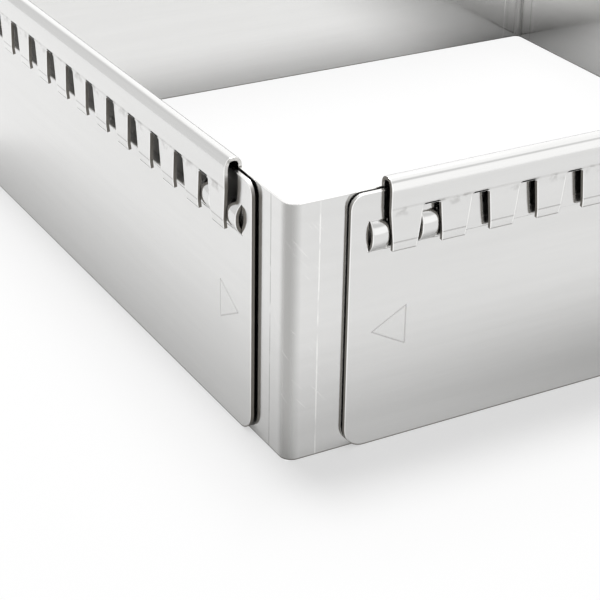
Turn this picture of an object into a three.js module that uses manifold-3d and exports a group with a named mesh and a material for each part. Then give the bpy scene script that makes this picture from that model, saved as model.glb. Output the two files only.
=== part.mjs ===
// Adjustable pastry frame: four L-shaped stainless sheets that telescope into a square or a rectangle.
// Two inner corners carry rolled, notched rails along their top edges. Two outer corners slide in those
// rails, and two lanced bumps at each of their free ends sit in the notches.
// Millimetres, +Z up, the frame standing on z = 0 with its middle on the Z axis, at its smallest setting.
import * as THREE from "three";
import { mergeVertices } from "three/addons/utils/BufferGeometryUtils.js";
import Module from "manifold-3d";

const wasm = await Module();
wasm.setup();

// Sheet and overall sizes
const INSIDE = 169; // clear inside, both ways, at the smallest setting
const SHEET = 0.7; // thickness of the steel
const BEND_RADIUS = 1.6; // inside radius of a corner bend
const WALL_HEIGHT = 49.5; // plain wall of an inner corner, beside the bend
const PLATE_GAP = 0.35; // between an inner wall and the plate outside it
const PLATE_HEADROOM = 1.55; // from the top of a plate to the inside of the roll over it
const LOW_ROUNDING = 4; // lower corners of the free ends
const TOP_ROUNDING = 2.6; // upper corners of a plate's free ends
const LEG_SETBACK = 4.5; // from the end of an inner leg to the wall that it faces

// Rolled rail with its notched skirt, its heights taken down from the top of the roll
const ROLL_RISE = 2; // top of the roll above the plain wall
const RAIL_LAP = 3.5; // how far the rail's own wall runs down into the plain wall
const RAIL_START = 18.1; // from the outside of the corner to the end of the rail
const RAIL_MARGIN = 0.5; // least wall beyond the far end of the rail
const NOTCH_PITCH = 10; // one notch a centimetre
const NOTCH_TOP_WIDTH = 3.6;
const TAB_TAPER = 0.8; // how much each side of a tab leans in on its way down
const CREASE_DROP = 5.5; // down to the crease where the roll meets the flat skirt
const NOTCH_DROP = 6.1; // down to the upper ends of the notches
const TAB_DROP = 13.5; // down to the tips of the tabs
const TIP_LENGTH = 1.7; // of the turned-in tip, below its own crease
const SKIRT_LEAN = 0.1; // inward lean of a tab between the two creases
const TIP_LEAN = 0.27; // inward lean of the tip below its crease

// Lanced bumps
const BUMP_WIDTH = 3.2; // along the plate
const BUMP_HEIGHT = 6.2; // foot to foot
const BUMP_CROWN = 1.8; // height of the flat crown
const BUMP_RISE = 0.82; // proud of the plate
const BUMP_ROOT = 0.3; // how far a foot runs into the whole sheet
const BUMP_SETBACK = 5.4; // from the end of the plate to the first bump
const BUMP_CLEARANCE = 0.07; // between a crown and the tabs that it passes
const BUMP_COUNT = 2;
const LANCE_SLIT = 0.15; // cut beside the strip
const LOCK_PLAY = 0.3; // from the middle of a notch on to the bump in it

// Smoothness
const BEND_STEPS = 8;
const ROLL_STEPS = 14;
const ROUNDING_STEPS = 6;
const BUMP_STEPS = 16;
const CUT_OVERRUN = 1; // how far a cutter runs past what it cuts

// Heights that follow from the sizes
const railTop = WALL_HEIGHT + ROLL_RISE;
const railFoot = WALL_HEIGHT - RAIL_LAP;
const skirtCrease = railTop - CREASE_DROP;
const notchTop = railTop - NOTCH_DROP;
const tabTip = railTop - TAB_DROP;
const tipCrease = tabTip + TIP_LENGTH;
const plateHeight = railTop - SHEET - PLATE_HEADROOM;
const bumpMiddle = tabTip + BUMP_HEIGHT / 2;

// Places in plan that follow from the sizes
const innerFace = INSIDE / 2;
const wallFace = innerFace + SHEET;
const plateFace = wallFace + PLATE_GAP + SHEET;
const innerLeg = wallFace + innerFace - LEG_SETBACK;
const tabWidth = NOTCH_PITCH - NOTCH_TOP_WIDTH;
const notchRoom = innerLeg - RAIL_START - tabWidth - RAIL_MARGIN;
const notchCount = Math.floor(notchRoom / NOTCH_PITCH);
const railEnd = RAIL_START + tabWidth + notchCount * NOTCH_PITCH;
const firstNotch = RAIL_START + tabWidth + NOTCH_TOP_WIDTH / 2;
const firstBump = firstNotch + LOCK_PLAY - (BUMP_COUNT - 1) * NOTCH_PITCH;
const plateEnd = firstBump - BUMP_SETBACK;
const outerLeg = plateFace + wallFace - plateEnd;

// The tabs stand clear of the bumps' crowns where they are nearest to them
const leanPerMillimetre = SKIRT_LEAN / (skirtCrease - tipCrease);
const leanAtCrown = leanPerMillimetre * (skirtCrease - bumpMiddle);
const skirtFace = PLATE_GAP + SHEET + BUMP_RISE + BUMP_CLEARANCE + SHEET + leanAtCrown;
const tipCreaseFace = skirtFace - SKIRT_LEAN;
const tipFace = tipCreaseFace - TIP_LEAN;
const rollRadius = (SHEET + skirtFace) / 2;
const rollMiddle = rollRadius - SHEET;
const rollHeight = railTop - rollRadius;

// A leg's own axes: along the leg from the corner, out from its outer face, and up
const alongX = new THREE.Matrix4().makeBasis(
  new THREE.Vector3(1, 0, 0),
  new THREE.Vector3(0, -1, 0),
  new THREE.Vector3(0, 0, 1),
);
const alongY = new THREE.Matrix4().makeBasis(
  new THREE.Vector3(0, 1, 0),
  new THREE.Vector3(-1, 0, 0),
  new THREE.Vector3(0, 0, 1),
);
const LEGS = [alongX, alongY];

// A section drawn in (out, up) and carried along the leg: its extrusion's axis becomes the leg's
const sectionToLeg = new THREE.Matrix4().makeBasis(
  new THREE.Vector3(0, 1, 0),
  new THREE.Vector3(0, 0, 1),
  new THREE.Vector3(1, 0, 0),
);

// A side view drawn in (along, up) and pressed through the sheet: its extrusion's axis points inwards
const sideToLeg = new THREE.Matrix4().makeBasis(
  new THREE.Vector3(1, 0, 0),
  new THREE.Vector3(0, 0, 1),
  new THREE.Vector3(0, -1, 0),
);

// Moves a geometry by a matrix and turns its faces back out if the matrix mirrors it
function placed(geometry, matrix) {
  geometry.deleteAttribute("normal");
  geometry.deleteAttribute("uv");
  const merged = mergeVertices(geometry, 1e-5).applyMatrix4(matrix);
  if (matrix.determinant() < 0) {
    const corners = merged.index.array;
    for (let i = 0; i < corners.length; i += 3) {
      [corners[i + 1], corners[i + 2]] = [corners[i + 2], corners[i + 1]];
    }
  }
  return merged;
}

function solid(geometry) {
  const vertProperties = new Float32Array(geometry.attributes.position.array);
  const triVerts = new Uint32Array(geometry.index.array);
  return new wasm.Manifold(new wasm.Mesh({ numProp: 3, vertProperties, triVerts }));
}

function extruded(shape, depth, curveSegments) {
  return new THREE.ExtrudeGeometry(shape, { depth, curveSegments, steps: 1, bevelEnabled: false });
}

// A section in (out, up), swept along one leg from start to end
function swept(section, start, end, leg, curveSegments) {
  const geometry = extruded(section, end - start, curveSegments);
  const shift = new THREE.Matrix4().makeTranslation(start, 0, 0);
  return solid(placed(geometry, leg.clone().multiply(shift).multiply(sectionToLeg)));
}

// A side view in (along, up), pressed inwards through one leg from a height above its outer face
function pressed(sideView, outside, depth, leg, curveSegments) {
  const geometry = extruded(sideView, depth, curveSegments);
  const shift = new THREE.Matrix4().makeTranslation(0, outside, 0);
  return solid(placed(geometry, leg.clone().multiply(shift).multiply(sideToLeg)));
}

// Plan of a folded sheet: two equal legs along +X and +Y, with the outside of the bend at the origin
function foldedSheet(legLength, height) {
  const outerRadius = BEND_RADIUS + SHEET;
  const plan = new THREE.Shape();
  plan.moveTo(legLength, 0);
  plan.lineTo(legLength, SHEET);
  plan.lineTo(outerRadius, SHEET);
  plan.absarc(outerRadius, outerRadius, BEND_RADIUS, -Math.PI / 2, -Math.PI, true);
  plan.lineTo(SHEET, legLength);
  plan.lineTo(0, legLength);
  plan.lineTo(0, outerRadius);
  plan.absarc(outerRadius, outerRadius, outerRadius, Math.PI, Math.PI * 1.5, false);
  plan.closePath();
  return solid(placed(extruded(plan, height, BEND_STEPS), new THREE.Matrix4()));
}

// What is cut from a free end so that its corner at this height is round
function endCorner(legLength, height, up, rounding) {
  const corner = new THREE.Shape();
  const centre = legLength - rounding;
  const level = height - up * rounding;
  corner.moveTo(legLength, level);
  corner.absarc(centre, level, rounding, 0, (up * Math.PI) / 2, up < 0);
  corner.lineTo(centre, height + up * CUT_OVERRUN);
  corner.lineTo(legLength + CUT_OVERRUN, height + up * CUT_OVERRUN);
  corner.lineTo(legLength + CUT_OVERRUN, level);
  corner.closePath();
  return corner;
}

function cutEndCorner(sheet, legLength, height, up, rounding, leg) {
  const corner = endCorner(legLength, height, up, rounding);
  const depth = SHEET + 2 * CUT_OVERRUN;
  return sheet.subtract(pressed(corner, CUT_OVERRUN, depth, leg, ROUNDING_STEPS));
}

// Section of the rolled rail: up the wall, over the roll, and down the creased skirt to the tab tips
function railSection() {
  const section = new THREE.Shape();
  section.moveTo(-SHEET, railFoot);
  section.lineTo(0, railFoot);
  section.lineTo(0, rollHeight);
  section.absarc(rollMiddle, rollHeight, rollRadius - SHEET, Math.PI, 0, true);
  section.lineTo(skirtFace - SHEET, skirtCrease);
  section.lineTo(tipCreaseFace - SHEET, tipCrease);
  section.lineTo(tipFace - SHEET, tabTip);
  section.lineTo(tipFace, tabTip);
  section.lineTo(tipCreaseFace, tipCrease);
  section.lineTo(skirtFace, skirtCrease);
  section.lineTo(skirtFace, rollHeight);
  section.absarc(rollMiddle, rollHeight, rollRadius, 0, Math.PI, false);
  section.closePath();
  return section;
}

// Side view of one notch, wider at the bottom, run past the tips along the same slope
function notch(middle) {
  const slope = TAB_TAPER / (notchTop - tabTip);
  const bottom = tabTip - CUT_OVERRUN;
  const halfTop = NOTCH_TOP_WIDTH / 2;
  const halfBottom = halfTop + slope * (notchTop - bottom);
  const view = new THREE.Shape();
  view.moveTo(middle - halfTop, notchTop);
  view.lineTo(middle - halfBottom, bottom);
  view.lineTo(middle + halfBottom, bottom);
  view.lineTo(middle + halfTop, notchTop);
  view.closePath();
  return view;
}

// Inner corner: a folded sheet with a rolled, notched rail along the top of both legs
function innerCorner() {
  let sheet = foldedSheet(innerLeg, WALL_HEIGHT);
  const reach = skirtFace - PLATE_GAP - SHEET + CUT_OVERRUN;
  for (const leg of LEGS) {
    sheet = cutEndCorner(sheet, innerLeg, 0, -1, LOW_ROUNDING, leg);
    let rail = swept(railSection(), RAIL_START, railEnd, leg, ROLL_STEPS);
    for (let i = 0; i <= notchCount + 1; i += 1) {
      const middle = firstNotch + (i - 1) * NOTCH_PITCH;
      rail = rail.subtract(pressed(notch(middle), skirtFace + CUT_OVERRUN, reach, leg, 1));
    }
    sheet = sheet.add(rail);
  }
  return sheet;
}

// How far a lanced strip stands out at this height: a flat crown that eases down to both feet
function bumpRise(height) {
  const pastCrown = Math.abs(height - bumpMiddle) - BUMP_CROWN / 2;
  const share = pastCrown / ((BUMP_HEIGHT - BUMP_CROWN) / 2);
  const eased = (1 + Math.cos(Math.PI * Math.min(Math.max(share, 0), 1))) / 2;
  return BUMP_RISE * eased;
}

// Section of one lanced strip, in (out, up) from the plate's outer face: an arch whose feet run into the plate
function bumpSection() {
  const foot = bumpMiddle - BUMP_HEIGHT / 2;
  const heights = [foot - BUMP_ROOT];
  for (let i = 0; i <= BUMP_STEPS; i += 1) {
    heights.push(foot + (BUMP_HEIGHT * i) / BUMP_STEPS);
  }
  heights.push(foot + BUMP_HEIGHT + BUMP_ROOT);
  const outside = heights.map((height) => new THREE.Vector2(bumpRise(height), height));
  const inside = heights.map((height) => new THREE.Vector2(bumpRise(height) - SHEET, height));
  return new THREE.Shape([...outside, ...inside.reverse()]);
}

// Side view of the opening that a lanced strip leaves in the plate
function lanceOpening(middle) {
  const half = BUMP_WIDTH / 2 + LANCE_SLIT;
  const view = new THREE.Shape();
  view.moveTo(middle - half, bumpMiddle - BUMP_HEIGHT / 2);
  view.lineTo(middle + half, bumpMiddle - BUMP_HEIGHT / 2);
  view.lineTo(middle + half, bumpMiddle + BUMP_HEIGHT / 2);
  view.lineTo(middle - half, bumpMiddle + BUMP_HEIGHT / 2);
  view.closePath();
  return view;
}

// Outer corner: a folded sheet with round free ends and two lanced bumps near the top of each
function outerCorner() {
  let sheet = foldedSheet(outerLeg, plateHeight);
  for (const leg of LEGS) {
    sheet = cutEndCorner(sheet, outerLeg, 0, -1, LOW_ROUNDING, leg);
    sheet = cutEndCorner(sheet, outerLeg, plateHeight, 1, TOP_ROUNDING, leg);
    for (let i = 0; i < BUMP_COUNT; i += 1) {
      const middle = outerLeg - BUMP_SETBACK - i * NOTCH_PITCH;
      const depth = SHEET + 2 * CUT_OVERRUN;
      sheet = sheet.subtract(pressed(lanceOpening(middle), CUT_OVERRUN, depth, leg, 1));
      const half = BUMP_WIDTH / 2;
      sheet = sheet.add(swept(bumpSection(), middle - half, middle + half, leg, 1));
    }
  }
  return sheet;
}

function steel(color, roughness) {
  return new THREE.MeshStandardMaterial({ color, roughness, metalness: 1 });
}

// One sheet in its place, its bend at a corner of the frame and its legs turned along two sides
function corner(name, shape, x, y, turn, material) {
  const mesh = shape.getMesh();
  const geometry = new THREE.BufferGeometry();
  geometry.setAttribute("position", new THREE.BufferAttribute(mesh.vertProperties, mesh.numProp));
  geometry.setIndex(new THREE.BufferAttribute(mesh.triVerts, 1));
  geometry.computeVertexNormals();
  const piece = new THREE.Mesh(geometry, material);
  piece.name = name;
  piece.position.set(x, y, 0);
  piece.rotation.z = turn;
  return piece;
}

const inner = innerCorner();
const outer = outerCorner();

const frame = new THREE.Group();
frame.add(
  corner("front_inner_corner", inner, -wallFace, -wallFace, 0, steel(0xd3d4d6, 0.26)),
  corner("back_inner_corner", inner, wallFace, wallFace, Math.PI, steel(0xd3d4d6, 0.26)),
  corner("right_outer_corner", outer, plateFace, -plateFace, Math.PI / 2, steel(0xcdced1, 0.3)),
  corner("left_outer_corner", outer, -plateFace, plateFace, -Math.PI / 2, steel(0xcdced1, 0.3)),
);

export default frame;
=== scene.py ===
import math

import bpy
import numpy as np
from mathutils import Matrix, Vector


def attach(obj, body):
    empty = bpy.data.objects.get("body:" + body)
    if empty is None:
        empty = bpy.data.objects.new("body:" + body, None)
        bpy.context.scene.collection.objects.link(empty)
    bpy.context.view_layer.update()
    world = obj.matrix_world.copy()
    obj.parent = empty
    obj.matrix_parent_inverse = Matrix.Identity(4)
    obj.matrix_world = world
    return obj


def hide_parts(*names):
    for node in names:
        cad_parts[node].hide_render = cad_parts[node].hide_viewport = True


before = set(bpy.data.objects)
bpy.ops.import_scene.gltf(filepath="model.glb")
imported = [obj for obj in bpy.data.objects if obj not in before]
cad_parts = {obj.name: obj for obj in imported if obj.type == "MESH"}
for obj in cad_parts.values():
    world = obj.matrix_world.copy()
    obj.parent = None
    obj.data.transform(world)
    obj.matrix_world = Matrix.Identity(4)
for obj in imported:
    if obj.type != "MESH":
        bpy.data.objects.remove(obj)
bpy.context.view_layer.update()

# Inner corners, front and back
# Two L-shaped sheets of 0.7 mm bright-rolled stainless steel. The top edge of each leg is rolled outwards
# into a rail, and the skirt that hangs from the roll is punched into tabs, with one notch a centimetre.
MM = 0.001
SHEET = 0.7
INSIDE = 169.0
BEND_RADIUS = 1.6
WALL_HEIGHT = 49.5
INNER_LEG = 165.2
LOW_ROUNDING = 4.0
EDGE_WIDTH = 0.3
EDGE_DEPTH = 0.05

RAIL_START = 18.1
NOTCH_PITCH = 10.0
NOTCH_COUNT = 14
NOTCH_ROUNDING = 0.6
TAB_WIDTH = 6.4
TAB_TAPER = 0.8
RAIL_TOP = 51.5
ROLL_DROP = 2.6
ROLL_POWER = 2.5
SKIRT_FACE = 2.718
SKIRT_LEAN = 0.1
SKIRT_CREASE = 46.0
CREASE_GROOVE = 0.02
TAB_TOP = 45.4
TIP_CREASE = 39.7
TIP_GROOVE = 0.07
TIP_LEAN = 0.27
TAB_TIP = 38.0
GROOVE_WIDTH = 0.13

# Rows, columns and steps of the sheet's grid
WALL_ROW = 30.0
SKIRT_ROW = 48.0
TAB_ROW = 42.0
BEND_STEPS = 16
ROLL_STEPS = 28
ROUNDING_STEPS = 6
ROUNDING_SHARE = 0.8
GROOVE_STEPS = 8
GROOVE_REACH = 2.2
EDGE_STEPS = 4
SHARP_DEGREES = 50

# Painted light on the cut edges, from -1 for painted shade to 1 for a painted highlight, and where it is
SHADED_EDGE = -1
ROLL_HIGHLIGHT = 1.0
HIGHLIGHT_FOOT = 46.5
NOTCH_SHINE = -0.45
NOTCH_LIGHT_REACH = 1.0
TIP_SHINE = -0.66

wall_face = INSIDE / 2 + SHEET
rail_end = RAIL_START + TAB_WIDTH + NOTCH_COUNT * NOTCH_PITCH
roll_radius = SKIRT_FACE / 2
roll_foot = RAIL_TOP - SHEET / 2 - ROLL_DROP
half_bend = (BEND_RADIUS + SHEET / 2) * math.pi / 4


def unit(vectors):
    """Each vector divided by its own length."""
    return vectors / np.linalg.norm(vectors, axis=-1, keepdims=True)


def cut_edges(kept, node):
    """Outline of a grid's kept cells, as edges that each have their own cell on the left: the nodes at which
    the edges start, and those at which they end."""
    held = np.pad(kept, 1)
    below, above = held[1:-1, :-1], held[1:-1, 1:]
    before, after = held[:-1, 1:-1], held[1:, 1:-1]
    foot, head = above & ~below, below & ~above
    front, back = before & ~after, after & ~before
    start = np.concatenate([node[:-1][foot], node[1:][head], node[:, :-1][front], node[:, 1:][back]])
    end = np.concatenate([node[1:][foot], node[:-1][head], node[:, 1:][front], node[:, :-1][back]])
    return start, end


def rounded_sheet(name, middle, normal, kept, pattern, rail_inside_shade, edge_brightness):
    """A sheet of even thickness as one closed mesh, from a grid over its middle surface.
    The kept cells, moved half the thickness along the normal to either side, are the two faces. Along every
    cut edge a rim joins them: a quarter ellipse out of one face, a flat cut, and a quarter ellipse into the
    other. Shading normals are the surface's own, so flat steel stays flat right up to its rounded edges.
    Attributes go with it: how far round a cut edge a place is, the painted light on that edge (a painted
    highlight where it faces up, painted shade where it faces down unless its given brightness lifts it), and
    where the face along the normal gets painted shade."""
    node = np.arange(middle[..., 0].size).reshape(middle.shape[:2])
    start, end = cut_edges(kept, node)
    middle, normal = middle.reshape(-1, 3), normal.reshape(-1, 3)
    outward = unit(np.cross(middle[end] - middle[start], normal[start] + normal[end]))
    leaving, arriving = np.zeros(len(middle), int), np.zeros(len(middle), int)
    leaving[start] = arriving[end] = np.arange(len(start))
    turn = np.sum(outward * outward[arriving[start]], axis=1, keepdims=True)
    mitre = np.zeros_like(middle)
    mitre[start] = (outward + outward[arriving[start]]) / (1 + turn)

    angle = np.linspace(0, np.pi / 2, EDGE_STEPS + 1)
    bulge = np.concatenate([np.sin(angle), np.sin(angle[::-1])])
    level = np.concatenate([np.cos(angle), -np.cos(angle[::-1])])
    side = np.repeat([1.0, -1.0], EDGE_STEPS + 1)
    depth = side * (SHEET / 2 - EDGE_DEPTH) + EDGE_DEPTH * level
    inset = EDGE_WIDTH * (bulge - 1)
    points = middle + mitre * inset[:, None, None] + normal * depth[:, None, None]

    last = len(bulge) - 1
    corners = np.stack([node[:-1, :-1], node[1:, :-1], node[1:, 1:], node[:-1, 1:]], axis=-1)[kept]
    rim = np.tile(np.stack([end, start, start, end], axis=-1), (last, 1, 1))
    rim_ring = np.broadcast_to(np.arange(last)[:, None, None] + [0, 0, 1, 1], rim.shape)
    nodes = np.concatenate([corners, corners[:, ::-1], rim.reshape(-1, 4)])
    ring = np.concatenate([0 * corners, 0 * corners + last, rim_ring.reshape(-1, 4)])

    def eased(neighbour):
        """Which way the rim faces at one end of each edge: shared with the neighbouring edge, unless the
        outline turns sharply there."""
        bend = np.sum(outward * outward[neighbour], axis=1, keepdims=True)
        shared = bend > math.cos(math.radians(SHARP_DEGREES))
        return unit(np.where(shared, outward + outward[neighbour], outward))

    at_start, at_end = eased(arriving[start]), eased(leaving[end])
    facing = np.stack([at_end, at_start, at_start, at_end], axis=1)
    sideways, upright = EDGE_DEPTH * bulge[rim_ring], EDGE_WIDTH * level[rim_ring]
    rim_normals = unit(facing * sideways[..., None] + normal[rim] * upright[..., None])
    face_normals = np.concatenate([normal[corners], -normal[corners[:, ::-1]], rim_normals.reshape(-1, 4, 3)])
    # Painted light on each rim: a highlight where it faces up, shade where it faces down, lifted to the
    # brightness given
    rim_light = np.maximum(facing[..., 2], edge_brightness.ravel()[rim])

    used, faces = np.unique(ring * len(middle) + nodes, return_inverse=True)
    mesh = bpy.data.meshes.new(name)
    mesh.from_pydata((points.reshape(-1, 3)[used] * MM).tolist(), [], faces.reshape(-1, 4).tolist())
    mesh.polygons.foreach_set("use_smooth", np.ones(len(nodes), bool))
    mesh.uv_layers.new(name="sheet").data.foreach_set("uv", (pattern.reshape(-1, 2)[nodes] * MM).ravel())
    attributes = {
        "cut_edge": np.concatenate([angle, angle[::-1]])[ring].ravel() / np.pi * 2,
        "edge_light": np.concatenate([np.zeros(2 * corners.size), rim_light.ravel()]),
        "rail_inside_shade": rail_inside_shade.ravel()[nodes.ravel()] * (ring.ravel() == 0),
    }
    for label, values in attributes.items():
        mesh.attributes.new(label, "FLOAT", "CORNER").data.foreach_set("value", values.astype(np.float32))
    mesh.normals_split_custom_set(face_normals.reshape(-1, 3).tolist())
    piece = bpy.data.objects.new(name, mesh)
    bpy.context.scene.collection.objects.link(piece)
    return piece


def fold_columns(stations):
    """Plan of a folded sheet with the outside of its bend at the origin and its legs along +Y and +X.
    Columns run from the end of the Y leg round the bend to the end of the X leg. Each has its foot on the
    outer face, the way out, the way along its leg, its distance from the corner, and its place in the flat
    sheet, which is measured from the middle of the bend."""
    outer = BEND_RADIUS + SHEET
    middle = BEND_RADIUS + SHEET / 2
    stations = np.concatenate([[outer], stations])
    angle = np.linspace(0, np.pi / 2, BEND_STEPS + 1)[1:-1]
    round_bend = -np.stack([np.cos(angle), np.sin(angle)], axis=1)
    y_leg_out = np.tile([[-1.0, 0.0]], (len(stations), 1))
    x_leg_out = np.tile([[0.0, -1.0]], (len(stations), 1))
    out = np.concatenate([y_leg_out, round_bend, x_leg_out])
    run = np.concatenate([-x_leg_out, 0 * round_bend, -y_leg_out])
    distance = np.concatenate([stations[::-1], 0 * angle + outer, stations])
    foot = np.concatenate([
        np.stack([0 * stations, stations[::-1]], axis=1),
        outer * (1 + round_bend),
        np.stack([stations, 0 * stations], axis=1),
    ])
    along = half_bend + stations - outer
    flat = np.concatenate([-along[::-1], middle * angle - half_bend, along])
    return foot, out, run, distance, flat


def end_rounding(distance, leg, rounding):
    """How a free end's round corner moves the columns near it, at the edge: along the leg, and in from the
    edge. Columns spaced evenly over the rounding are swung round its quarter circle by equal angles."""
    share = np.clip((distance - leg + rounding) / rounding, 0, 1)
    swing = share * np.pi / 2
    return rounding * (np.sin(swing) - share), rounding * (1 - np.cos(swing))


def rounding_stations(leg):
    """Distances of the columns over the steeper share of a free end's round corner."""
    return np.linspace(leg - ROUNDING_SHARE * LOW_ROUNDING, leg, ROUNDING_STEPS + 1)


def turned(vectors, quarter_turns):
    """Vectors turned about the vertical by whole quarter turns."""
    cosine, sine = [(1, 0), (0, 1), (-1, 0), (0, -1)][quarter_turns % 4]
    return vectors @ np.array([[cosine, sine, 0], [-sine, cosine, 0], [0, 0, 1.0]])


def skirt_offset(height):
    """Distance of the skirt's middle surface out from the wall's face: straight under the roll, leaning in
    below the crease and more so below the tips' crease, with a groove pressed along both creases. A groove's
    section is a bell curve."""
    levels = [TAB_TIP, TIP_CREASE, SKIRT_CREASE]
    lean = np.interp(height, levels, [SKIRT_LEAN + TIP_LEAN, SKIRT_LEAN, 0])
    upper = CREASE_GROOVE * np.exp(-(((height - SKIRT_CREASE) / GROOVE_WIDTH) ** 2))
    lower = TIP_GROOVE * np.exp(-(((height - TIP_CREASE) / GROOVE_WIDTH) ** 2))
    return SKIRT_FACE - SHEET / 2 - lean - upper - lower


def rail_section():
    """Section of an inner corner's middle surface, up the wall, over the roll and down the skirt to the tips:
    its distance out, its height and its normal, which points out at the wall and in at the skirt, and which
    rows are the rail's and the tabs'. The roll is a superellipse, taller on the way down from its ridge than
    on the way up. The tabs part just under the groove of the upper crease."""
    wall = np.array([0, LOW_ROUNDING, 2 * LOW_ROUNDING, WALL_ROW, WALL_HEIGHT])
    angle = np.linspace(np.pi, 0, ROLL_STEPS + 1)
    groove = GROOVE_WIDTH * np.linspace(GROOVE_REACH, -GROOVE_REACH, GROOVE_STEPS + 1)
    tabs = np.concatenate([[TAB_TOP, TAB_TOP - NOTCH_ROUNDING, TAB_ROW], TIP_CREASE + groove, [TAB_TIP]])
    skirt = np.concatenate([[SKIRT_ROW], SKIRT_CREASE + groove, tabs])
    drop = np.where(angle > np.pi / 2, roll_radius, ROLL_DROP)
    side, rise = np.cos(angle), np.abs(np.sin(angle))
    spread = 2 / ROLL_POWER
    roll_out = roll_radius * (1 + np.sign(side) * np.abs(side) ** spread) - SHEET / 2
    roll_up = RAIL_TOP - SHEET / 2 - drop * (1 - rise**spread)
    steep_out, steep_up = np.sign(side) * np.abs(side) ** (2 - spread), rise ** (2 - spread)
    roll_normal = unit(-np.stack([steep_out / roll_radius, steep_up / drop], axis=1))
    out = np.concatenate([0 * wall - SHEET / 2, roll_out, skirt_offset(skirt)])
    up = np.concatenate([wall, roll_up, skirt])
    slope = np.gradient(skirt_offset(skirt), skirt)
    lean = np.hypot(1, slope)
    normal_out = np.concatenate([0 * wall + 1, roll_normal[:, 0], -1 / lean])
    normal_up = np.concatenate([0 * wall, roll_normal[:, 1], slope / lean])
    is_rail = np.arange(len(up)) >= len(wall)
    is_tab = np.arange(len(up)) >= len(up) - len(tabs)
    return out, up, normal_out, normal_up, is_rail, is_tab


def section_lengths():
    """Lengths along the rail's section from its foot to each row."""
    offset, height = rail_section()[:2]
    return np.cumsum(np.hypot(np.diff(offset, prepend=offset[0]), np.diff(height, prepend=0)))


def light_on_rail_edges(height, is_rail, flat):
    """Painted light on the cut edges of an inner corner. On the Y leg the rail's end gets a painted
    highlight, stronger towards its roll. The edges above the notches and at the tabs' tips get less painted
    shade than other lower edges."""
    roll_end_highlight = np.interp(height, [HIGHLIGHT_FOOT, roll_foot], [SHADED_EDGE, ROLL_HIGHLIGHT])
    edge_brightness = np.where(is_rail & (flat < 0), roll_end_highlight, SHADED_EDGE)
    by_notch = is_rail & (np.abs(height - TAB_TOP) < NOTCH_LIGHT_REACH)
    edge_brightness = np.where(by_notch, np.maximum(edge_brightness, NOTCH_SHINE), edge_brightness)
    return np.where(is_rail & (height == TAB_TIP), TIP_SHINE, edge_brightness)


def inner_corner(name, apex, quarter_turns):
    """The folded sheet with its rails. Rows carry the rail's section along the columns. Between the notches
    the columns lean in with the tabs' sides, and at the free ends they swing round the lower corners."""
    tab_starts = RAIL_START + np.arange(NOTCH_COUNT + 1) * NOTCH_PITCH
    half_notch = (NOTCH_PITCH - TAB_WIDTH) / 2
    notch_middles = tab_starts[1:] - half_notch
    sides = np.array([-half_notch, NOTCH_ROUNDING - half_notch, half_notch - NOTCH_ROUNDING, half_notch])
    notch_stations = (notch_middles[:, None] + sides).ravel()
    stations = np.concatenate([[RAIL_START], notch_stations, [rail_end], rounding_stations(INNER_LEG)])
    foot, out, run, distance, flat = fold_columns(np.sort(stations))
    offset, height, normal_out, normal_up, is_rail, is_tab = rail_section()

    tab_sides = np.stack([tab_starts, tab_starts + TAB_WIDTH], axis=1).ravel()
    inward = np.interp(distance, tab_sides, np.tile([1.0, -1.0], NOTCH_COUNT + 1))
    taper = TAB_TAPER * np.clip((TAB_TOP - height) / (TAB_TOP - TAB_TIP), 0, 1) * is_rail
    slide, lift = end_rounding(distance, INNER_LEG, LOW_ROUNDING)
    fade = np.clip(1 - height / (2 * LOW_ROUNDING), 0, 1)
    along = inward[:, None] * taper + slide[:, None] * fade
    raised = height + lift[:, None] * fade

    # Upper corners of the notches are round: their nodes move a little into the notch
    top_row = np.flatnonzero(is_tab)[0] - 1
    on_side = np.isclose(np.abs(distance[:, None] - notch_middles).min(axis=1), half_notch)
    cut_corner = NOTCH_ROUNDING * (1 - math.sqrt(0.5))
    along[on_side, top_row] -= cut_corner * inward[on_side]
    raised[on_side, top_row] -= cut_corner

    plan = foot[:, None] + out[:, None] * offset[:, None] + run[:, None] * along[..., None]
    middle = np.concatenate([plan, raised[..., None]], axis=-1)
    level_normal = out[:, None] * normal_out[:, None]
    up_normal = np.broadcast_to(normal_up, raised.shape)[..., None]
    normal = np.concatenate([level_normal, up_normal], axis=-1)
    flat = flat[:, None] + along * np.sign(flat)[:, None]
    pattern = np.stack(np.broadcast_arrays(flat, section_lengths()), axis=-1)

    cell = (distance[1:] + distance[:-1]) / 2
    in_rail = (cell > RAIL_START) & (cell < rail_end)
    on_tab = in_rail & ((cell - RAIL_START) % NOTCH_PITCH < TAB_WIDTH)
    row_rail, row_tab = is_rail[1:], is_tab[1:]
    kept = np.where(row_tab, on_tab[:, None], np.where(row_rail, in_rail[:, None], True))
    # The faces inside the rail, towards the plate, get painted shade
    rail_inside_shade = np.broadcast_to(is_rail, raised.shape)
    edge_brightness = light_on_rail_edges(height, is_rail, flat)
    middle = turned(middle, quarter_turns) + np.array([*apex, 0])
    return rounded_sheet(name, middle, turned(normal, quarter_turns), kept, pattern, rail_inside_shade, edge_brightness)


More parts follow.
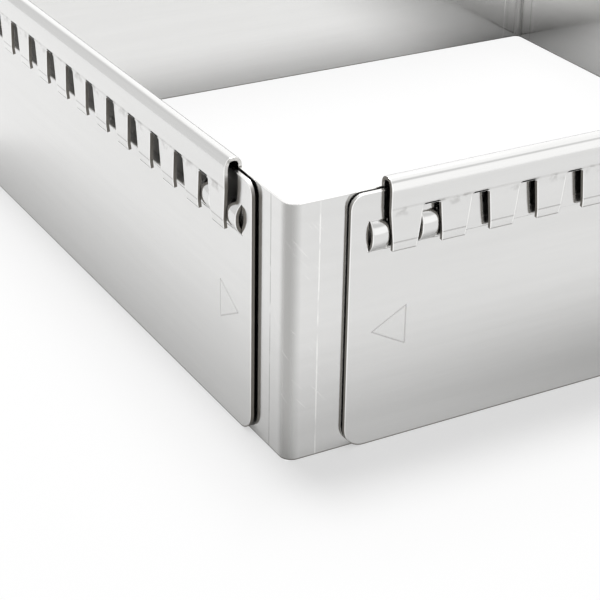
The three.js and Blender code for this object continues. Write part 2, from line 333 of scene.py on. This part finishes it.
class Socket:
    """A shader socket that takes part in Python arithmetic: each operator adds one Math node to its tree."""

    def __init__(self, tree, output=None):
        self.tree = tree
        self.output = output

    def node(self, kind, inputs=None, output=0, **settings):
        """Adds any node: its settings first, then a value or a link for each named or numbered socket."""
        made = self.tree.nodes.new("ShaderNode" + kind)
        for setting, value in settings.items():
            setattr(made, setting, value)
        for place, value in (inputs or {}).items():
            if isinstance(value, Socket):
                self.tree.links.new(value.output, made.inputs[place])
            else:
                made.inputs[place].default_value = value
        return Socket(self.tree, made.outputs[output] if len(made.outputs) else None)

    def math(self, operation, *values):
        """One Math node on values or sockets."""
        return self.node("Math", dict(enumerate(values)), operation=operation)

    def __add__(self, other):
        return self.math("ADD", self, other)

    def __sub__(self, other):
        return self.math("SUBTRACT", self, other)

    def __rsub__(self, other):
        return self.math("SUBTRACT", other, self)

    def __mul__(self, other):
        return self.math("MULTIPLY", self, other)

    def __truediv__(self, other):
        return self.math("DIVIDE", self, other)

    def __abs__(self):
        return self.math("ABSOLUTE", self)

    __radd__ = __add__
    __rmul__ = __mul__

    def axis(self, number):
        """One of a vector's three values."""
        return self.node("SeparateXYZ", {0: self}, output=number)

    def stretched(self, scale):
        """A place with each of its values multiplied by one of scale's."""
        return self.node("Mapping", {"Vector": self, "Scale": scale})

    def noise(self, scale, detail, roughness=0.5):
        """Cloudy noise at a place."""
        look = {"Scale": scale, "Detail": detail, "Roughness": roughness}
        return self.node("TexNoise", {"Vector": self, **look})

    def clamped(self, low, high):
        """How far this value has come from low to high, as 0 to 1, eased at both ends."""
        span = {0: self, 1: low, 2: high, 3: 0.0, 4: 1.0}
        return self.node("MapRange", span, interpolation_type="SMOOTHSTEP")

    def mixed(self, first, second):
        """The colour this share of the way from the first to the second."""
        return self.node("Mix", {0: self, 6: first, 7: second}, output=2, data_type="RGBA")


# Colours of the steel's marked and cut places, and of its painted shade and highlights
BEND_SHADE_COLOUR = (0.46, 0.457, 0.447, 1)
MARK_AND_SHADE_COLOUR = (0.30, 0.29, 0.28, 1)
HIGHLIGHT_AND_SCRATCH_COLOUR = (0.97, 0.965, 0.95, 1)
SHEAR_AND_SHADE_COLOUR = (0.23, 0.216, 0.196, 1)
RAIL_SHADE_COLOUR = (0.13, 0.125, 0.118, 1)

# Grain, haze and ripples, in the noise's cells a metre, and how much each of them does
GRAIN_SCALE = (90, 5200, 1)
STREAK_SCALE = (14, 420, 1)
HAZE_SCALE = 45.0
RIPPLE_SCALE = 22.0
FINENESS = 0.6
TONE_SPAN = (0.3, 0.7)
RIPPLE = {"Strength": 0.25, "Distance": 0.0006}
BRUSHING = {"Strength": 0.05, "Distance": 0.00002}
GRAIN_ROUGHNESS = 0.05
HAZE_ROUGHNESS = 0.08
BEND_ROUGHNESS = 0.18
MARK_ROUGHNESS = 0.3
SHEAR_ROUGHNESS = 0.3
SHELTER_ROUGHNESS = 0.2

# The duller band at the bend, painted darker as shade, in millimetres and in half bends
BEND_SHIFT = 0.35
BEND_CORE = 0.2
BEND_REACH = 1.5

# Shares of the way round a cut edge, and of its painted light, over which it takes a painted highlight, dark
# sheared metal or painted shade
HIGHLIGHT_RIM = (0.05, 0.3)
HIGHLIGHT_SPAN = (-0.6, 0.0)
SHEARED_RIM = (0.65, 0.95)
LIGHTENED_SPAN = (0.0, 1.0)
UPPER_EDGE_LIGHTENING = 0.8
UNDER_RIM = (0.0, 0.35)
UNDER_SHINE = (-0.9, -0.4)


def stainless(name, colour, shade, roughness, marks):
    """Bright-rolled stainless steel: a fine grain along the sheet, faint cloudy haze, a duller band round the
    bend where the sheet was stretched, painted darker as shade, painted shade on the faces inside the rails,
    and at the cut edges a painted highlight on rims that don't face down, rough dark sheared metal, and
    painted shade under rims that face down. Marks add their own lines."""
    material = bpy.data.materials.new(name)
    material.use_nodes = True
    material.node_tree.nodes.clear()
    start = Socket(material.node_tree)
    flat = start.node("UVMap", uv_map="sheet")
    cut_edge = start.node("Attribute", output="Fac", attribute_name="cut_edge")
    edge_light = start.node("Attribute", output="Fac", attribute_name="edge_light")
    rail_inside_shade = start.node("Attribute", output="Fac", attribute_name="rail_inside_shade")
    grain = flat.stretched(GRAIN_SCALE).noise(1.0, 3.0, FINENESS)
    streak = flat.stretched(STREAK_SCALE).noise(1.0, 2.0)
    haze = flat.noise(HAZE_SCALE, 4.0, FINENESS)
    wave = flat.noise(RIPPLE_SCALE, 1.0)

    tone = (0.5 * grain + 0.5 * streak).clamped(*TONE_SPAN)
    finish = tone.mixed((*shade, 1), (*colour, 1))
    # Painted shade: the band round the bend is painted darker, and it is also made rougher
    bend = 1 - abs(flat.axis(0) / MM + BEND_SHIFT).clamped(BEND_CORE, BEND_REACH * half_bend)
    finish, marked = marks(flat, bend.mixed(finish, BEND_SHADE_COLOUR))
    # Painted shade on the faces inside the rails
    finish = rail_inside_shade.mixed(finish, RAIL_SHADE_COLOUR)
    # Painted highlight on the rims that don't face down
    rim_highlight = cut_edge.clamped(*HIGHLIGHT_RIM) * edge_light.clamped(*HIGHLIGHT_SPAN)
    finish = rim_highlight.mixed(finish, HIGHLIGHT_AND_SCRATCH_COLOUR)
    # Dark sheared metal on the flat cuts, lightened as a painted highlight where the edge faces up
    sheared = cut_edge.clamped(*SHEARED_RIM) * (1 - UPPER_EDGE_LIGHTENING * edge_light.clamped(*LIGHTENED_SPAN))
    # Painted shade under the rims that face down
    underside_shade = cut_edge.clamped(*UNDER_RIM) * (1 - edge_light.clamped(*UNDER_SHINE))
    shear_and_shade = sheared.math("MAXIMUM", sheared, underside_shade)
    finish = shear_and_shade.mixed(finish, SHEAR_AND_SHADE_COLOUR)

    rough = roughness + GRAIN_ROUGHNESS * (grain - 0.5) + HAZE_ROUGHNESS * (haze - 0.5)
    rough = rough + BEND_ROUGHNESS * bend + MARK_ROUGHNESS * marked
    rough = rough + SHEAR_ROUGHNESS * shear_and_shade + SHELTER_ROUGHNESS * rail_inside_shade
    rippled = start.node("Bump", {"Height": wave, **RIPPLE})
    brushed = start.node("Bump", {"Height": grain, "Normal": rippled, **BRUSHING})
    steel = start.node("BsdfPrincipled", {
        "Base Color": finish,
        "Metallic": 1.0,
        "Roughness": rough,
        "Normal": brushed,
    })
    start.node("OutputMaterial", {"Surface": steel})
    return material


# Lines that the folding tools pressed beside the bend, with the breaks in them, painted shade on one leg and
# a painted highlight on the other
PRESS_LINE = 5.3
PRESS_SHIFT = 0.2
PRESS_WIDTH = (0.05, 0.2)
BREAK_SCALE = 260.0
BREAKS = (0.3, 0.52)
DARK_PRESS = 0.6
BRIGHT_PRESS = 0.9
PRESS_DULLNESS = 0.4

# Painted shade along the skirt's creases, with darker blotches along the upper crease and just below it
CREASE_WIDTH = (0.03, 0.4)
CREASE_DARKNESS = 0.2
BLOTCH_SCALE = 420.0
BLOTCHES = (0.46, 0.66)
BLOTCH_DARKNESS = 0.25
TIP_LINE_WIDTH = (0.06, 0.26)
TIP_LINE_DARKNESS = 0.7
BELOW_CREASE_DROP = 0.7
BELOW_CREASE_WIDTH = (0.3, 1.1)
BELOW_CREASE_DARKNESS = 0.35
BELOW_CREASE_DULLNESS = 0.5
RAIL_DULLNESS = 0.12

# Scratches near the bend
SCRATCH_SLANT = (0, 0, 0.9)
SCRATCH_SCALE = (110, 2600, 1)
SCRATCHES = (0.66, 0.72)
PATCH_SCALE = 70.0
PATCHES = (0.46, 0.58)
SCRATCH_REACH = (6.0, 24.0)
SCRATCH_BRIGHTNESS = 0.6
SCRATCH_DULLNESS = 0.3


def crease_lengths():
    """Lengths along the rail's section from its foot to the skirt's upper and lower creases."""
    height = rail_section()[1]
    ridge = height.argmax()
    rising, lengths = height[ridge:][::-1], section_lengths()[ridge:][::-1]
    return np.interp([SKIRT_CREASE, TIP_CREASE], rising, lengths).tolist()


def press_marks_and_shade(flat, finish):
    """Marks of the folding tools, in millimetres of the flat sheet: a line on either side of the bend, with
    painted shade on one leg and a painted highlight on the other, painted shade along both creases of the
    skirt, darker blotches along and just below the upper one, and fine scratches near the bend. The rail is a
    little duller than the wall."""
    along, up = flat.axis(0) / MM, flat.axis(1) / MM
    broken = flat.noise(BREAK_SCALE, 2.0).clamped(*BREAKS)
    # The press line, painted dark as shade on one leg and bright as a highlight on the other
    line = (1 - abs(abs(along + PRESS_SHIFT) - PRESS_LINE).clamped(*PRESS_WIDTH)) * broken
    bright_leg = along.clamped(-1.0, 1.0)

    upper, lower = crease_lengths()
    blotch = flat.noise(BLOTCH_SCALE, 3.0).clamped(*BLOTCHES)
    # Painted shade along the upper crease, darker in blotches
    crease = (CREASE_DARKNESS + BLOTCH_DARKNESS * blotch) * (1 - abs(up - upper).clamped(*CREASE_WIDTH))
    # Painted shade along the tips' crease
    tip_line = TIP_LINE_DARKNESS * (1 - abs(up - lower).clamped(*TIP_LINE_WIDTH))
    # Darker blotches just below the upper crease
    below_crease = BELOW_CREASE_DARKNESS * blotch * (1 - abs(up - upper - BELOW_CREASE_DROP).clamped(*BELOW_CREASE_WIDTH))
    crease_shade_and_blotches = crease + tip_line + below_crease

    slanted = flat.node("Mapping", {"Vector": flat, "Rotation": SCRATCH_SLANT})
    hair = slanted.stretched(SCRATCH_SCALE).noise(1.0, 1.0).clamped(*SCRATCHES)
    patch = flat.noise(PATCH_SCALE, 1.0).clamped(*PATCHES)
    scratch = hair * patch * (1 - abs(along).clamped(*SCRATCH_REACH))

    # Painted highlight of the press line on one leg, and brighter scratches
    light = BRIGHT_PRESS * line * bright_leg + SCRATCH_BRIGHTNESS * scratch
    # Painted shade of the press line on the other leg and along the creases
    dark = DARK_PRESS * line * (1 - bright_leg) + crease_shade_and_blotches
    finish = dark.mixed(light.mixed(finish, HIGHLIGHT_AND_SCRATCH_COLOUR), MARK_AND_SHADE_COLOUR)
    rail = up.clamped(WALL_HEIGHT, WALL_HEIGHT + 1)
    dull = PRESS_DULLNESS * line + BELOW_CREASE_DULLNESS * crease_shade_and_blotches + SCRATCH_DULLNESS * scratch
    return finish, dull + RAIL_DULLNESS * rail


INNER_COLOUR = (0.76, 0.758, 0.75)
INNER_SHADE = (0.73, 0.728, 0.72)
INNER_ROUGHNESS = 0.13
inner_steel = stainless("inner_corner_steel", INNER_COLOUR, INNER_SHADE, INNER_ROUGHNESS, press_marks_and_shade)
for body, apex, quarter_turns in (
    ("front_inner_corner", (-wall_face, -wall_face), 0),
    ("back_inner_corner", (wall_face, wall_face), 2),
):
    piece = inner_corner(body + "_sheet", apex, quarter_turns)
    piece.data.materials.append(inner_steel)
    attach(piece, body)
    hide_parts(body)

# Outer corners, right and left
# Two L-shaped sheets of the same steel that slide in the inner corners' rails. Each free end has round
# corners, two lanced bumps that catch between the tabs, and an arrow etched on its face that points to it.
PLATE_GAP = 0.35
PLATE_HEIGHT = 49.25
OUTER_LEG = 160.25
TOP_ROUNDING = 2.6
BUMP_WIDTH = 3.2
BUMP_FOOT = 38.45
BUMP_HEIGHT = 5.3
BUMP_RISE = 1.22
BUMP_POWER = 2.6
BUMP_EASE = 0.25
BUMP_SAG = 0.08
BUMP_SETBACK = 5.4
BUMP_COUNT = 2
LANCE_SLIT = 0.15
BUMP_STEPS = 24
STRIP_COLUMNS = (-1, -0.75, -0.4, 0, 0.4, 0.75, 1)
PLATE_COLUMNS = (60.0, 110.0)
PLATE_ROW = 20.0

plate_face = wall_face + PLATE_GAP + SHEET
bump_head = BUMP_FOOT + BUMP_HEIGHT


def bump_arch(height):
    """How far a lanced strip stands out at a height, and its slope there: one less a power of the distance
    from its middle, with the slope eased off where it leaves the plate."""
    half = BUMP_HEIGHT / 2
    from_middle = height - BUMP_FOOT - half
    share = np.clip(np.abs(from_middle) / half, 0, 1)
    eased = np.clip((half + BUMP_EASE - np.abs(from_middle)) / (2 * BUMP_EASE), 0, 1)
    slope = -np.sign(from_middle) * BUMP_RISE * BUMP_POWER * share ** (BUMP_POWER - 1) / half
    return BUMP_RISE * (1 - share**BUMP_POWER), slope * eased


def bump_barrel(across):
    """Share of the arch left beside a strip's middle line, and its slope: it sags to both sides as a
    parabola."""
    half = BUMP_WIDTH / 2
    share = np.clip(across / half, -1, 1)
    return 1 - BUMP_SAG * share**2, -2 * BUMP_SAG * share / half


def outer_corner(name, apex, quarter_turns):
    """The folded sheet with its bumps. Between the slits the rows stand out along the bumps' arches, the
    cells of the slits are left out, and at the free ends the columns swing round both corners."""
    bump_middles = OUTER_LEG - BUMP_SETBACK - np.arange(BUMP_COUNT) * NOTCH_PITCH
    half = BUMP_WIDTH / 2
    sides = np.concatenate([[-half - LANCE_SLIT], half * np.array(STRIP_COLUMNS), [half + LANCE_SLIT]])
    bump_stations = (bump_middles[:, None] + sides).ravel()
    stations = np.concatenate([PLATE_COLUMNS, bump_stations, rounding_stations(OUTER_LEG)])
    foot, out, run, distance, flat = fold_columns(np.sort(stations))

    margin = PLATE_HEIGHT - bump_head
    arch = np.linspace(BUMP_FOOT, bump_head, BUMP_STEPS + 1)
    low_rows = [0, margin / 2, margin, PLATE_ROW, BUMP_FOOT - BUMP_EASE]
    top_rows = [bump_head + BUMP_EASE, bump_head + margin / 2, PLATE_HEIGHT]
    height = np.concatenate([low_rows, arch, top_rows])
    low_corner, top_corner = (LOW_ROUNDING, height, 1), (TOP_ROUNDING, PLATE_HEIGHT - height, -1)
    along, raised = 0, height
    for rounding, from_edge, inwards in (low_corner, top_corner):
        slide, lift = end_rounding(distance, OUTER_LEG, rounding)
        fade = np.clip(1 - from_edge / margin, 0, 1)
        along = along + slide[:, None] * fade
        raised = raised + lift[:, None] * fade * inwards

    across = distance[:, None] - bump_middles
    across = np.take_along_axis(across, np.abs(across).argmin(axis=1)[:, None], axis=1)
    on_strip = np.abs(across) < half + LANCE_SLIT / 2
    rise, slope = bump_arch(height)
    share, fall = bump_barrel(across)
    offset = on_strip * rise * share - SHEET / 2
    plan = foot[:, None] + out[:, None] * offset[..., None] + run[:, None] * along[..., None]
    middle = np.concatenate([plan, raised[..., None]], axis=-1)
    level_normal = out[:, None] - run[:, None] * (on_strip * rise * fall)[..., None]
    up_normal = -(on_strip * slope * share)[..., None]
    normal = unit(np.concatenate([level_normal, up_normal], axis=-1))
    pattern = np.stack([flat[:, None] + along * np.sign(flat)[:, None], raised], axis=-1)

    cell = np.abs((distance[1:] + distance[:-1])[:, None] / 2 - bump_middles).min(axis=1)
    in_slit = np.isclose(cell, half + LANCE_SLIT / 2)
    row_middle = (height[1:] + height[:-1]) / 2
    in_arch = (row_middle > BUMP_FOOT) & (row_middle < bump_head)
    kept = ~(in_slit[:, None] & in_arch)
    # No painted shade on the faces, and painted shade only under rims that face down
    rail_inside_shade = np.zeros_like(raised)
    edge_brightness = np.full_like(raised, SHADED_EDGE)
    middle = turned(middle, quarter_turns) + np.array([*apex, 0])
    return rounded_sheet(name, middle, turned(normal, quarter_turns), kept, pattern, rail_inside_shade, edge_brightness)


# The arrow's corners, back from the free end and up, its line and how strongly it is etched
ARROW_TIP = 4.9
ARROW_BASE = 11.8
ARROW_LOW = 18.8
ARROW_HIGH = 26.3
ARROW_LINE = 0.2
ARROW_DARKNESS = 0.36
ARROW_DULLNESS = 0.8


def segment_distance(along, up, first, second):
    """Distance of a place from the nearest point of a straight line between two points."""
    (x0, y0), (x1, y1) = first, second
    dx, dy = x1 - x0, y1 - y0
    share = ((along - x0) * dx + (up - y0) * dy) / (dx * dx + dy * dy)
    share = share.math("MINIMUM", share.math("MAXIMUM", share, 0.0), 1.0)
    gap_x, gap_y = along - x0 - share * dx, up - y0 - share * dy
    return share.math("SQRT", gap_x * gap_x + gap_y * gap_y)


def etched_arrows(flat, finish):
    """Outline of a triangle near each free end, on both legs, as a thin line where the least of the distances
    from its three sides is small. Places are in millimetres of the flat sheet, from the free end and up."""
    end = half_bend + OUTER_LEG - BEND_RADIUS - SHEET
    along, up = abs(flat.axis(0)) / MM - end, flat.axis(1) / MM
    tip = (-ARROW_TIP, (ARROW_LOW + ARROW_HIGH) / 2)
    low = (-ARROW_BASE, ARROW_LOW)
    high = (-ARROW_BASE, ARROW_HIGH)
    nearest = segment_distance(along, up, tip, low)
    for first, second in ((low, high), (high, tip)):
        nearest = nearest.math("MINIMUM", nearest, segment_distance(along, up, first, second))
    line = 1 - nearest.clamped(ARROW_LINE / 3, ARROW_LINE)
    return (ARROW_DARKNESS * line).mixed(finish, MARK_AND_SHADE_COLOUR), ARROW_DULLNESS * line


OUTER_COLOUR = (0.75, 0.748, 0.74)
OUTER_SHADE = (0.72, 0.718, 0.71)
OUTER_ROUGHNESS = 0.14
outer_steel = stainless("outer_corner_steel", OUTER_COLOUR, OUTER_SHADE, OUTER_ROUGHNESS, etched_arrows)
for body, apex, quarter_turns in (
    ("right_outer_corner", (plate_face, -plate_face), 1),
    ("left_outer_corner", (-plate_face, plate_face), -1),
):
    piece = outer_corner(body + "_sheet", apex, quarter_turns)
    piece.data.materials.append(outer_steel)
    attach(piece, body)
    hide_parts(body)

# Table
# A white table top that the frame stands on. It takes the frame's soft shadow close to the walls, less so on
# the left, and is lifted towards white for the camera inside the frame and away from it. The steel alone sees
# painted light on it in front of the near corner, and a painted shadow in the far corner of the resting
# frame.
TABLE_NEAR = -0.25
TABLE_FAR = 0.6
TABLE_COLOUR = (0.9, 0.9, 0.9, 1)
SHADED_COLOUR = (0.55, 0.55, 0.55, 1)
NEAR_LIFT = 0.5
LEFT_LIFT = 0.75
FAR_LIFT = 0.9
GLOSSY_LIFT = 0.21
CORNER_LIFT = 0.42

# Spans in millimetres over which the lift changes, from the plates' faces or from the frame's middle
SHADOW_REACH = (4.0, 26.0)
INSIDE_EDGE = (-2.0, -1.0)
LEFT_EDGE = (-8.0, 4.0)
FRONT_EDGE = (-4.0, 4.0)
NEAR_CORNER = (-70.0, 0.0)
FAR_CORNER_ACROSS = (40.0, 75.0)
FAR_CORNER_DEEP = (0.0, 50.0)


def ray_kinds(start):
    """Whether a ray comes from the camera, off a glossy surface, or through a clear one."""
    kinds = ("Is Camera Ray", "Is Glossy Ray", "Is Transmission Ray")
    return [start.node("LightPath", output=kind) for kind in kinds]


table_mesh = bpy.data.meshes.new("table")
table_mesh.from_pydata([
    (TABLE_NEAR, TABLE_NEAR, 0),
    (TABLE_FAR, TABLE_NEAR, 0),
    (TABLE_FAR, TABLE_FAR, 0),
    (TABLE_NEAR, TABLE_FAR, 0),
], [], [(0, 1, 2, 3)])
table = bpy.data.objects.new("table", table_mesh)
bpy.context.scene.collection.objects.link(table)
white_table = bpy.data.materials.new("white_table")
white_table.use_nodes = True
white_table.node_tree.nodes.clear()
table_top = Socket(white_table.node_tree)
camera_ray, glossy_ray, through_ray = ray_kinds(table_top)
place = table_top.node("TexCoord", output="Object")
across, deep = place.axis(0) / MM, place.axis(1) / MM
beyond = across.math("MAXIMUM", abs(across), abs(deep)) - plate_face
inside = 1 - beyond.clamped(*INSIDE_EDGE)
left = 1 - (across + plate_face).clamped(*LEFT_EDGE)
front = 1 - (deep + plate_face).clamped(*FRONT_EDGE)
near_corner = front * (1 - across.clamped(*NEAR_CORNER))
far_corner = inside * across.clamped(*FAR_CORNER_ACROSS) * deep.clamped(*FAR_CORNER_DEEP)

near_lift = NEAR_LIFT + (LEFT_LIFT - NEAR_LIFT) * left
camera_lift = near_lift + (FAR_LIFT - near_lift) * (beyond.clamped(*SHADOW_REACH) + inside)
# Painted light in the steel's reflections in front of the near corner, and none in the far corner
mirror_lift = (GLOSSY_LIFT + (CORNER_LIFT - GLOSSY_LIFT) * near_corner) * (1 - far_corner)
lift = (camera_ray + through_ray) * camera_lift + glossy_ray * mirror_lift
# Painted shadow in the steel's reflections of the far corner
table_colour = (glossy_ray * far_corner).mixed(TABLE_COLOUR, SHADED_COLOUR)
lit = table_top.node("BsdfDiffuse", {"Color": table_colour})
glow = table_top.node("Emission", {"Color": (1, 1, 1, 1), "Strength": 1.0})
lifted = table_top.node("MixShader", {0: lift, 1: lit, 2: glow})
table_top.node("OutputMaterial", {"Surface": lifted})
table_mesh.materials.append(white_table)

# Studio light
# A large soft box over and behind the frame, and a white room that fills the shadows. The steel sees the room
# brighter at the horizon than higher up, which draws the lines along the rolled rails, plainer on the left,
# and as bright as the horizon all the way up on the right and behind, as at a tall window.
ROOM_LIGHT = 0.42
ROOM_LEFT = 0.83
ROOM_HORIZON = 1.25
ROOM_ABOVE = 0.78
ROOM_WINDOW = 1.25
LEFT_TO_RIGHT = (0.05, 0.35)
HORIZON_TO_ABOVE = (0.34, 0.52)
WINDOW_ACROSS = (-0.15, 0.42)
WINDOW_DEEP = (-0.62, -0.42)
SOFT_BOX_PLACE = Vector((0.12, 0.40, 1.15))
SOFT_BOX_SIDE = 0.7
SOFT_BOX_POWER = 13.0
world = bpy.data.worlds.new("white_room")
bpy.context.scene.world = world
world.use_nodes = True
world.node_tree.nodes.clear()
room = Socket(world.node_tree)
camera_ray, glossy_ray, through_ray = ray_kinds(room)
direction = room.node("TexCoord", output="Generated")
to_right, to_back, upwards = direction.axis(0), direction.axis(1), direction.axis(2)
low_wall = ROOM_LEFT + (ROOM_HORIZON - ROOM_LEFT) * to_right.clamped(*LEFT_TO_RIGHT)
walls = low_wall + (ROOM_ABOVE - low_wall) * upwards.clamped(*HORIZON_TO_ABOVE)
window = to_right.clamped(*WINDOW_ACROSS) * to_back.clamped(*WINDOW_DEEP)
mirrored = walls + window * (ROOM_WINDOW - walls)
seen = camera_ray.math("MAXIMUM", camera_ray, through_ray)
strength = glossy_ray * mirrored + (1 - glossy_ray) * (ROOM_LIGHT + (1 - ROOM_LIGHT) * seen)
white_room = room.node("Background", {"Color": (1, 1, 1, 1), "Strength": strength})
room.node("OutputWorld", {"Surface": white_room})

soft_box = bpy.data.lights.new("soft_box", "AREA")
soft_box.size = SOFT_BOX_SIDE
soft_box.energy = SOFT_BOX_POWER
lamp = bpy.data.objects.new("soft_box", soft_box)
facing = (-SOFT_BOX_PLACE).to_track_quat("-Z", "Y").to_matrix().to_4x4()
lamp.matrix_world = Matrix.Translation(SOFT_BOX_PLACE) @ facing
bpy.context.scene.collection.objects.link(lamp)

# Camera
# Close to the front corner and above it, looking down along the frame's diagonal with a long lens, so that
# about half of the two near sides and a strip of the far ones are in the picture.
CAMERA_PLACE = (-0.21881, -0.32348, 0.17299)
CAMERA_HEADING = -29.70
CAMERA_DROP = 27.26
CAMERA_ROLL = 1.04
LENS_LENGTH = 109.86
SENSOR_WIDTH = 36.0
NEAREST_SEEN = 0.01
lens = bpy.data.cameras.new("camera")
lens.sensor_width = SENSOR_WIDTH
lens.lens = LENS_LENGTH
lens.clip_start = NEAREST_SEEN
camera = bpy.data.objects.new("camera", lens)
heading = Matrix.Rotation(math.radians(CAMERA_HEADING), 4, "Z")
pitch = Matrix.Rotation(math.radians(90 - CAMERA_DROP), 4, "X")
roll = Matrix.Rotation(math.radians(CAMERA_ROLL), 4, "Z")
camera.matrix_world = Matrix.Translation(CAMERA_PLACE) @ heading @ pitch @ roll
bpy.context.scene.collection.objects.link(camera)
bpy.context.scene.camera = camera
bpy.context.scene.view_settings.view_transform = "Standard"
